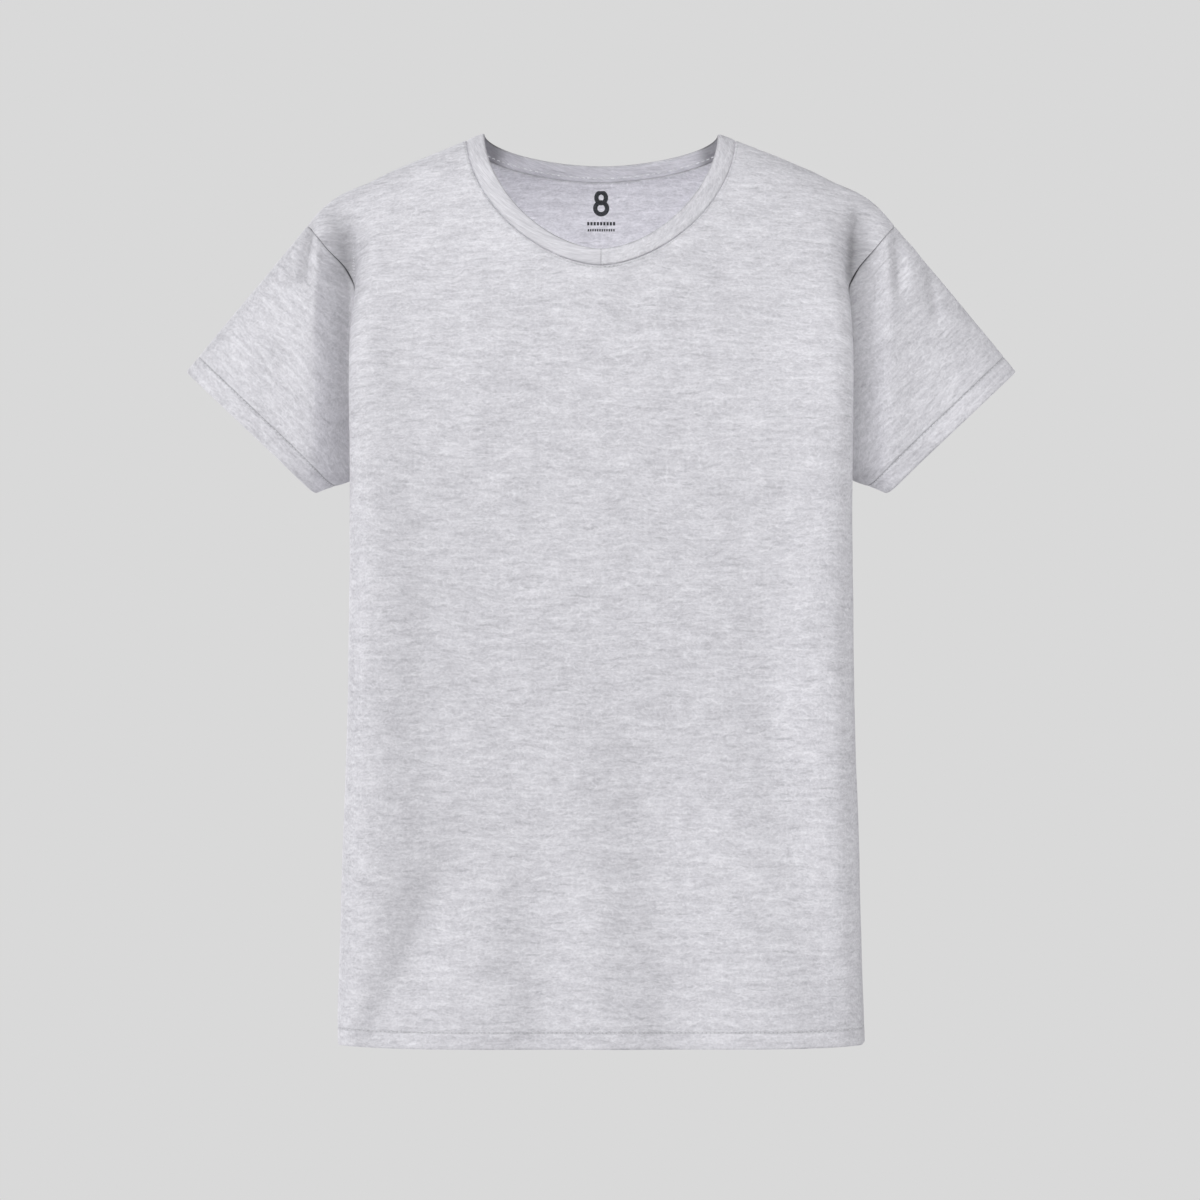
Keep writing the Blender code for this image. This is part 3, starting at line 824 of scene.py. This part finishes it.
def make_sleeve(name, hand, number, material):
    grid = sleeve_grid() * np.array((hand, 1.0, 1.0))
    from_seam, from_cuff, _ = edge_distances(grid, True)
    outer_depth = np.maximum(profile(from_seam, "seam"), profile(from_cuff, "fold"))
    outer_depth += groove(from_cuff, (CUFF_STITCH,), CUFF_GROOVE)
    inner_depth = hem_thickness(from_cuff, SLEEVE_FOLD) + allowance(from_seam)
    outer, inner = laid(grid, outer_depth), laid(grid, inner_depth)
    # Painted shade along the seam and the cuff row, in the valley and the creases; a share of it
    # inside.
    shade = line_shade("seam", from_seam) + line_shade("cuff_row", from_cuff, CUFF_STITCH)
    shades = (shade + valley_shade(grid) + crease_shade(grid), INNER_SHARE * shade)
    place = sleeve_place(grid, number)
    return cloth_piece(name, outer, inner, True, place, shades, material), grid


def whole_neckline(row, places):
    """The neckline from the middle of the front, round by the wearer's left, and back."""
    front, back = neck_line(row, -1), neck_line(row, 1)
    mirror = np.array((-1.0, 1.0, 1.0))
    line = np.concatenate((front, back[-2::-1], back[1:] * mirror, front[-2::-1] * mirror))
    travelled = travel(line)
    ends = np.array(BAND_END_ROWS)
    even = np.linspace(ends[-1], travelled[-1] - ends[-1], places)[1:-1]
    at = np.concatenate((ends, even, travelled[-1] - ends[::-1]))
    return np.stack([np.interp(at, travelled, line[:, k]) for k in range(3)], axis=-1)


def make_band(name, number, material):
    """The folded strip of the neck, whose ends are joined at the middle of the front."""
    seam, edge = (whole_neckline(row, BAND_STEPS) for row in (NECK_SEAM, NECK_EDGE))
    grid = np.stack([seam] + [settle(seam + (edge - seam) * s, 4) for s in BAND_ROWS[1:]])
    from_seam, from_edge, from_join = edge_distances(grid, False)
    share = from_seam / (from_seam + from_edge)
    folded = profile(from_edge, "fold") * BAND_EDGE_SHARE
    outer_depth = np.maximum(profile(from_seam, "seam"), folded)
    outer_depth += JOIN_SHARE * profile(from_join, "seam")
    outer_depth -= BAND_PUFF * np.sin(np.pi * share)
    inner_depth = BAND_THICKNESS - folded + BAND_PUFF * np.sin(np.pi * share)
    inner_depth -= BAND_SEAM_SHARE * profile(from_seam, "fold")
    outer, inner = laid(grid, outer_depth), laid(grid, inner_depth)
    round_it = travel(np.swapaxes(grid, 0, 1)).T
    place = np.stack((round_it, from_seam, np.full(share.shape, float(number))), axis=-1)
    # Painted shade along the seam, the join and the folded edge, and inside at the neck points.
    shade = line_shade("neck_seam", from_seam) + line_shade("band_join", from_join)
    shade += line_shade("band_edge", from_edge)
    # Painted shade on the inside of the band towards the neck points.
    point = smooth_step((np.abs(grid[..., 0]) - POINT_REACH) / POINT_FADE)
    shades = (shade, shade + POINT_SHADE * point)
    return cloth_piece(name, outer, inner, False, place, shades, material), grid


def stitch_points(line, length, gap, radius, lift, side=1.0):
    """Short threads along a line on the cloth, as points and faces of one mesh."""
    travelled = travel(line)
    pitch = length + gap
    count = int(travelled[-1] // pitch)
    pitch = travelled[-1] / count
    starts = (np.arange(count) + 0.5) * pitch
    turn = np.arange(STITCH_SIDES) / STITCH_SIDES * 2 * np.pi
    along_it = np.array(STITCH_PLACES)
    girth = np.array(STITCH_GIRTHS)
    ends = len(girth) * STITCH_SIDES
    sides = cloth_faces(len(along_it), STITCH_SIDES, True).tolist()
    sides += [list(range(STITCH_SIDES))[::-1], list(range(ends - STITCH_SIDES, ends))]
    points, faces = [], []

    def at(places):
        return np.stack([np.interp(places, travelled, line[:, k]) for k in range(3)], -1)

    centre = at(starts)
    way = unit(at(starts + length / 2) - at(starts - length / 2))
    up = outward(centre) * side
    up = unit(up - way * (up * way).sum(axis=-1, keepdims=True))
    across = np.cross(up, way)
    for k in range(count):
        middle = centre[k] + way[k] * (along_it * length / 2)[:, None]
        middle = middle + up[k] * (lift * (girth - 1) + lift)[:, None]
        ring = np.cos(turn)[:, None] * across[k] + np.sin(turn)[:, None] * up[k]
        points.append(middle[:, None] + ring[None] * (girth * radius)[:, None, None])
        faces += [tuple(n + k * ends for n in face) for face in sides]
    return np.concatenate(points).reshape(-1, 3), faces


def stitching(name, lines, sizes, material):
    """One mesh of the stitches along several lines."""
    points, faces, total = [], [], 0
    for line in lines:
        row_points, row_faces = stitch_points(line, **sizes)
        faces += [tuple(n + total for n in face) for face in row_faces]
        points.append(row_points)
        total += len(row_points)
    return new_object(name, np.concatenate(points), faces, material)


def size_mark(name, material):
    """A printed numeral 8 with two rows of plain marks below it, on the inside back."""
    points, faces = [], []

    def add(across, up, quads):
        base = sum(len(p) for p in points)
        place = pressed(np.stack((across, 0 * across, MARK_HEIGHT + up), axis=-1), 1)
        points.append(laid(place, CLOTH + PRINT_LIFT))
        faces.extend(tuple(n + base for n in quad) for quad in quads)

    turn = np.linspace(0, 2 * np.pi, RING_STEPS + 1)
    for ring in named(MARK_RINGS, RING_COLUMNS):
        across, up = [], []
        for k in range(RING_WIDTH_STEPS + 1):
            inset = MARK_STROKE * k / RING_WIDTH_STEPS
            across.append((ring["half_width"] - inset) * np.cos(turn))
            up.append(ring["height"] + (ring["half_height"] - inset) * np.sin(turn))
        quads = cloth_faces(RING_WIDTH_STEPS + 1, RING_STEPS + 1, False).tolist()
        add(np.concatenate(across), np.concatenate(up), quads)
    for bars in named(MARK_BARS, BAR_COLUMNS):
        across = bars["width"] / 2 * np.array((-1, 1, 1, -1))
        up = bars["height"] + bars["tall"] / 2 * np.array((-1, -1, 1, 1))
        for k in range(bars["count"]):
            middle = (k - (bars["count"] - 1) / 2) * bars["pitch"]
            add(middle + across, up, [(0, 1, 2, 3)])
    return new_object(name, np.concatenate(points), faces, material, smooth=False)


class Nodes:
    """Short ways to build a material from nodes."""

    def __init__(self, name):
        self.material = bpy.data.materials.new(name)
        self.material.use_nodes = True
        self.tree = self.material.node_tree
        self.surface = self.tree.nodes["Principled BSDF"]

    def link(self, source, target):
        self.tree.links.new(source, target)

    def node(self, kind, **values):
        made = self.tree.nodes.new(kind)
        for key, value in values.items():
            setattr(made, key, value)
        return made

    def fill(self, sockets, values):
        """Set each socket to its value, or link it to another socket."""
        for socket, value in zip(sockets, values):
            if isinstance(value, (float, tuple)):
                socket.default_value = value
            else:
                self.link(value, socket)

    def vector(self, operation, first, second):
        made = self.node("ShaderNodeVectorMath", operation=operation)
        second_socket = made.inputs["Scale" if operation == "SCALE" else 1]
        self.fill((made.inputs[0], second_socket), (first, second))
        return made.outputs["Vector"]

    def math(self, operation, *values):
        made = self.node("ShaderNodeMath", operation=operation)
        self.fill(made.inputs, values)
        return made.outputs["Value"]

    def noise(self, vector, scale, detail=2.0, roughness=0.5, colour=False):
        """Noise whose scale is given along each axis, in lumps per metre."""
        made = self.node("ShaderNodeTexNoise", noise_dimensions="3D")
        made.inputs["Scale"].default_value = 1.0
        made.inputs["Detail"].default_value = detail
        made.inputs["Roughness"].default_value = roughness
        self.link(self.vector("MULTIPLY", vector, scale), made.inputs["Vector"])
        return made.outputs["Color" if colour else "Fac"]

    def ramp(self, value, low, high):
        """Nought below low and one above high, with a smooth rise between them."""
        made = self.node("ShaderNodeMapRange", interpolation_type="SMOOTHSTEP")
        self.link(value, made.inputs["Value"])
        made.inputs["From Min"].default_value = low
        made.inputs["From Max"].default_value = high
        return made.outputs["Result"]

    def blend(self, share, first, second):
        """A colour between two, by a share."""
        made = self.node("ShaderNodeMix", data_type="RGBA", clamp_factor=True)
        sockets = {socket.identifier: socket for socket in made.inputs}
        sockets["A_Color"].default_value = tuple(first) + (1.0,)
        sockets["B_Color"].default_value = tuple(second) + (1.0,)
        self.link(share, sockets["Factor_Float"])
        return {socket.identifier: socket for socket in made.outputs}["Result_Color"]

    def look(self, values):
        for name, value in values.items():
            self.surface.inputs[name].default_value = value

    def bump(self, height, strength, distance):
        """Raise the surface by a height, at most by a distance in metres."""
        made = self.node("ShaderNodeBump")
        made.inputs["Strength"].default_value = strength
        made.inputs["Distance"].default_value = distance
        self.link(height, made.inputs["Height"])
        self.link(made.outputs["Normal"], self.surface.inputs["Normal"])

    def add_up(self, terms):
        """The sum of (value, centre, weight) terms."""
        total = 0.0
        for value, centre, weight in terms:
            moved = self.math("SUBTRACT", value, centre)
            total = self.math("MULTIPLY_ADD", moved, weight, total)
        return total


def heather(name, streaks=1.0):
    """Pale grey heather jersey: wavy streaks of light and dark fibre along each course."""
    n = Nodes(name)
    place = n.node("ShaderNodeAttribute", attribute_name="cloth").outputs["Vector"]
    bent = place
    for wave in named(WAVES, WAVE_COLUMNS):
        off = n.noise(place, wave["scale"], wave["detail"], colour=True)
        off = n.vector("MULTIPLY", n.vector("SUBTRACT", off, MIDDLE), wave["sway"])
        bent = n.vector("ADD", bent, off)
    terms = []
    for fibre in named(FIBRES, FIBRE_COLUMNS):
        at = n.vector("ADD", bent if fibre["bent"] else place, fibre["shift"])
        tone = n.noise(at, fibre["scale"], fibre["detail"], fibre["roughness"])
        terms.append((tone, 0.5, fibre["weight"] * streaks))
    terms.append((n.noise(place, CLOUD_SCALE), 0.5, CLOUD_WEIGHT))
    for hair in named(HAIRS, HAIR_COLUMNS):
        tone = n.noise(n.vector("ADD", bent, hair["shift"]), hair["scale"], hair["detail"])
        if hair["fine"]:
            tone = n.math("ABSOLUTE", n.math("SUBTRACT", tone, 0.5))
        shown = n.ramp(tone, *hair["limits"])
        terms.append((shown, hair["mean"], hair["weight"] * streaks))
    value = n.add_up(terms)
    shade = n.blend(n.math("ADD", value, 0.5), DARK_FIBRE, LIGHT_FIBRE)
    # The colour is darkened by the painted shade held on the mesh, and lightened where the painted
    # light inside the back makes it below nought.
    seam = n.node("ShaderNodeAttribute", attribute_name="painted_shade_and_light")
    kept = n.math("SUBTRACT", 1.0, n.math("MULTIPLY", seam.outputs["Fac"], PAINTED_SHADE_STRENGTH))
    n.link(n.vector("SCALE", shade, kept), n.surface.inputs["Base Color"])
    fuzz = n.noise(place, FUZZ_SCALE, 2.0, 0.6)
    height = n.add_up(((value, 0.0, FIBRE_HEIGHT), (fuzz, 0.5, FUZZ_HEIGHT)))
    n.bump(height, 0.5, 0.00022)
    n.look({"Roughness": 0.92, "Specular IOR Level": 0.15})
    n.look({"Sheen Weight": 0.12, "Sheen Roughness": 0.5, "Sheen Tint": (0.95, 0.96, 1.0, 1.0)})
    return n.material


def thread(name, colour):
    """Spun sewing thread, a little lighter or darker from stitch to stitch."""
    n = Nodes(name)
    place = n.node("ShaderNodeTexCoord").outputs["Object"]
    tone = n.noise(place, THREAD_SCALE)
    twist = n.noise(place, TWIST_SCALE, 1.0)
    darker, lighter = np.array(colour) * DARKER_THREAD, np.array(colour) * LIGHTER_THREAD
    n.link(n.blend(n.ramp(tone, 0.3, 0.7), darker, lighter), n.surface.inputs["Base Color"])
    n.bump(twist, 0.4, 0.0001)
    n.look({"Roughness": 0.7, "Sheen Weight": 0.15})
    return n.material


def print_ink(name):
    """Soft dark grey ink, thin enough for the fibres to show as faint specks."""
    n = Nodes(name)
    place = n.node("ShaderNodeTexCoord").outputs["Object"]
    speck = n.noise(place, SPECK_SCALE, 2.0, 0.6)
    shade = n.blend(n.ramp(speck, 0.45, 0.75), INK, WORN_INK)
    n.link(shade, n.surface.inputs["Base Color"])
    n.bump(speck, 0.3, 0.0001)
    n.look({"Roughness": 0.75, "Specular IOR Level": 0.25})
    return n.material


def seam_path(grid, distance):
    """A line on the cloth at a distance from the last row of a grid."""
    return grid[-1] + unit(grid[-len(NECK_SHARES) - 2] - grid[-1]) * distance


def on_face(points, depth):
    """The same points on the cloth, below its face by a depth."""
    return laid(settle(points, 6), depth)


def row_at(grid, distance):
    """The row of a grid nearest to a distance from its first."""
    return grid[np.argmin(np.abs(travel(grid)[:, 0] - distance))]


def area_light(light):
    """A disc of light aimed at the middle of the garment."""
    data = bpy.data.lights.new(light["name"], "AREA")
    data.shape = "DISK"
    data.size = light["size"]
    data.energy = light["power"]
    data.use_shadow = light["shadow"]
    lamp = bpy.data.objects.new(light["name"], data)
    lamp.location = (light["x"], light["y"], light["z"])
    aim = LIGHT_TARGET - lamp.location
    lamp.rotation_euler = aim.to_track_quat("-Z", "Y").to_euler()
    bpy.context.scene.collection.objects.link(lamp)


def studio():
    """Plain pale floor and world, soft key light from the upper left, and the camera."""
    scene = bpy.context.scene
    scene.view_settings.view_transform = "Standard"
    world = bpy.data.worlds.new("studio")
    world.use_nodes = True
    tree = world.node_tree
    air, seen = tree.nodes["Background"], tree.nodes.new("ShaderNodeBackground")
    for light in (air, seen):
        light.inputs["Color"].default_value = BACKDROP + (1.0,)
    air.inputs["Strength"].default_value = AIR_LIGHT
    either = tree.nodes.new("ShaderNodeMixShader")
    rays = tree.nodes.new("ShaderNodeLightPath")
    tree.links.new(rays.outputs["Is Camera Ray"], either.inputs[0])
    tree.links.new(air.outputs[0], either.inputs[1])
    tree.links.new(seen.outputs[0], either.inputs[2])
    tree.links.new(either.outputs[0], tree.nodes["World Output"].inputs["Surface"])
    scene.world = world
    size, foot = FLOOR_SIZE, FLOOR_HEIGHT
    corners = ((-size, -size, foot), (size, -size, foot), (size, size, foot), (-size, size, foot))
    pale = Nodes("pale_floor")
    glow = pale.node("ShaderNodeEmission")
    glow.inputs["Color"].default_value = BACKDROP + (1.0,)
    pale.link(glow.outputs["Emission"], pale.tree.nodes["Material Output"].inputs["Surface"])
    floor = new_object("floor", np.array(corners), [(0, 1, 2, 3)], pale.material, smooth=False)
    for light in named(LIGHTS, LIGHT_COLUMNS):
        area_light(light)
    data = bpy.data.cameras.new("camera")
    data.sensor_width = 36.0
    data.lens = data.sensor_width * CAMERA_DISTANCE / FRAME_WIDTH
    data.clip_end = 100.0
    camera = bpy.data.objects.new("camera", data)
    camera.location = (CENTRE_X, -CAMERA_DISTANCE, CENTRE_Z)
    camera.rotation_euler = (np.pi / 2, 0.0, 0.0)
    scene.collection.objects.link(camera)
    scene.camera = camera


def main():
    jersey = heather("heather_jersey")
    band_jersey = heather("band_jersey", BAND_STREAKS)
    front, front_grid = make_panel("front_panel_cloth", -1, 1, jersey)
    back, back_grid = make_panel("back_panel_cloth", 1, 2, jersey)
    left, left_grid = make_sleeve("sleeve_left_cloth", 1, 3, jersey)
    right, right_grid = make_sleeve("sleeve_right_cloth", -1, 4, jersey)
    band, band_grid = make_band("neck_band_cloth", 5, band_jersey)

    panels = (front_grid, back_grid)
    hems = [on_face(row_at(grid, distance), GROOVE) for grid in panels for distance in HEM_STITCHES]
    hem_stitching = stitching("hem_stitching", hems, ROW_STITCH, thread("hem_thread", THREAD))
    cuffs = []
    for grid, name in ((left_grid, "cuff_stitching_left"), (right_grid, "cuff_stitching_right")):
        ring = row_at(grid[::-1], CUFF_STITCH)
        line = on_face(np.concatenate((ring, ring[:1])), GROOVE)
        cuffs.append(stitching(name, [line], ROW_STITCH, thread("cuff_thread", THREAD)))
    necks = [on_face(seam_path(grid, NECK_TOPSTITCH), NECK_STITCH_DEPTH) for grid in panels]
    topstitch = stitching("neck_topstitch", necks, NECK_STITCH, thread("neck_thread", THREAD))
    inner = band_grid[0] + (band_grid[-1] - band_grid[0]) * (BAND_INNER_STITCH / BAND_HEIGHT)
    inner = on_face(inner, BAND_THICKNESS + BAND_PUFF)
    pale_thread = thread("pale_thread", PALE_THREAD)
    inside = stitching("band_inner_stitching", [inner], INNER_STITCH, pale_thread)
    mark = size_mark("size_mark", print_ink("print_ink"))

    pieces = (
        (front, "front_panel", "heather_jersey"),
        (back, "back_panel", "heather_jersey"),
        (left, "sleeve_left", "heather_jersey"),
        (right, "sleeve_right", "heather_jersey"),
        (band, "neck_band", "band_jersey"),
    )
    for piece, node, slot in pieces:
        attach(piece, "root")
        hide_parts(node)
    for piece in (hem_stitching, topstitch, inside, mark, *cuffs):
        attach(piece, "root")
    studio()


main()
